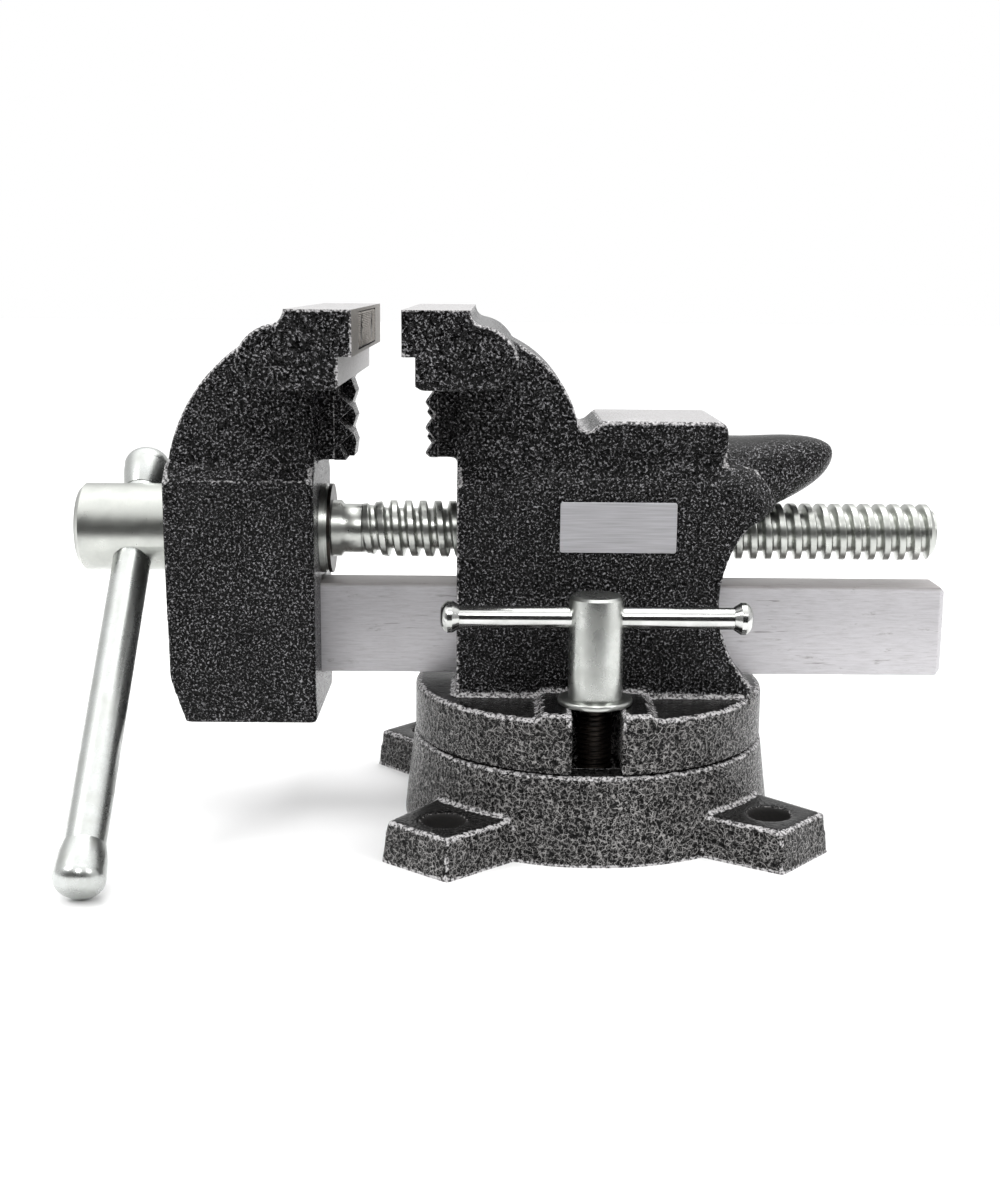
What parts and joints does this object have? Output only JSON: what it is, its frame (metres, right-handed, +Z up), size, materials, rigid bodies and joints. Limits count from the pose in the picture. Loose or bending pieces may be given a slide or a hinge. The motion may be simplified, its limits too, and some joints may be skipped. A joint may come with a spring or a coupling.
{
  "type": "bench vise",
  "caption": "Cast bench vise with a sliding front jaw, main screw and handle, anvil horn, and a swivel base held by a lock bolt.",
  "frame": {"origin": "on the bench, at the centre of the four bench bolts, on the swivel axis", "axes": "+Z up, +X along the screw from the handle to the horn"},
  "size_m": [0.2814, 0.1699, 0.1653],
  "materials": {
    "hammered_paint": "black hammered paint on cast iron",
    "jaw_steel": "serrated hardened steel",
    "black_steel": "black oxide",
    "grey_bar": "silver grey, lightly scratched",
    "nut_iron": "machined",
    "zinc_steel": "zinc plated, turned",
    "bright_zinc": "bright zinc plated",
    "plate_silver": "brushed, blank"
  },
  "bodies": {
    "base": {"base": "hammered_paint"},
    "vise_body": {"fixed_jaw_body": "hammered_paint", "rear_jaw_plate": "jaw_steel", "rear_plate_screws": "black_steel", "main_nut": "nut_iron", "nut_set_screw": "black_steel", "name_plate": "plate_silver", "lock_stud": "black_steel", "lock_washer": "zinc_steel", "pivot_bolt": "black_steel", "pivot_washer": "black_steel"},
    "sliding_jaw": {"front_jaw": "hammered_paint", "front_jaw_plate": "jaw_steel", "front_plate_screws": "black_steel", "slide_bar": "grey_bar", "slide_bar_pin": "black_steel"},
    "screw": {"main_screw": "zinc_steel", "thrust_washer": "zinc_steel", "spring_washer": "black_steel", "keeper_ring": "zinc_steel"},
    "handle": {"handle_bar": "zinc_steel", "handle_knob_upper": "zinc_steel", "handle_knob_lower": "zinc_steel"},
    "lock_nut": {"lock_head": "zinc_steel"},
    "lock_tee": {"lock_bar": "bright_zinc", "lock_knob_left": "bright_zinc", "lock_knob_right": "bright_zinc"}
  },
  "joints": [
    {"name": "swivel", "type": "hinge", "parent": "base", "child": "vise_body", "pos_m": [0, 0, 0], "axis": [0, 0, 1], "continuous": true},
    {"name": "jaw_slide", "type": "slide", "parent": "vise_body", "child": "sliding_jaw", "axis": [1, 0, 0], "range_m": [-0.086, 0.014]},
    {"name": "screw_spin", "type": "hinge", "parent": "sliding_jaw", "child": "screw", "pos_m": [-0.1, 0, 0.0939], "axis": [1, 0, 0], "range_deg": [-6450, 1044]},
    {"name": "handle_slide", "type": "slide", "parent": "screw", "child": "handle", "axis": [0, 0.7181, 0.6959], "range_m": [0, 0.0995]},
    {"name": "lock_spin", "type": "hinge", "parent": "vise_body", "child": "lock_nut", "pos_m": [0, -0.0405, 0.06], "axis": [0, 0, 1], "range_deg": [-10, 10]},
    {"name": "lock_bar_slide", "type": "slide", "parent": "lock_nut", "child": "lock_tee", "axis": [1, 0, 0], "range_m": [-0.033, 0.033]}
  ],
  "couplings": [
    {"joint": "jaw_slide", "follows": "screw_spin", "m_per_rad": 0.00076394}
  ]
}
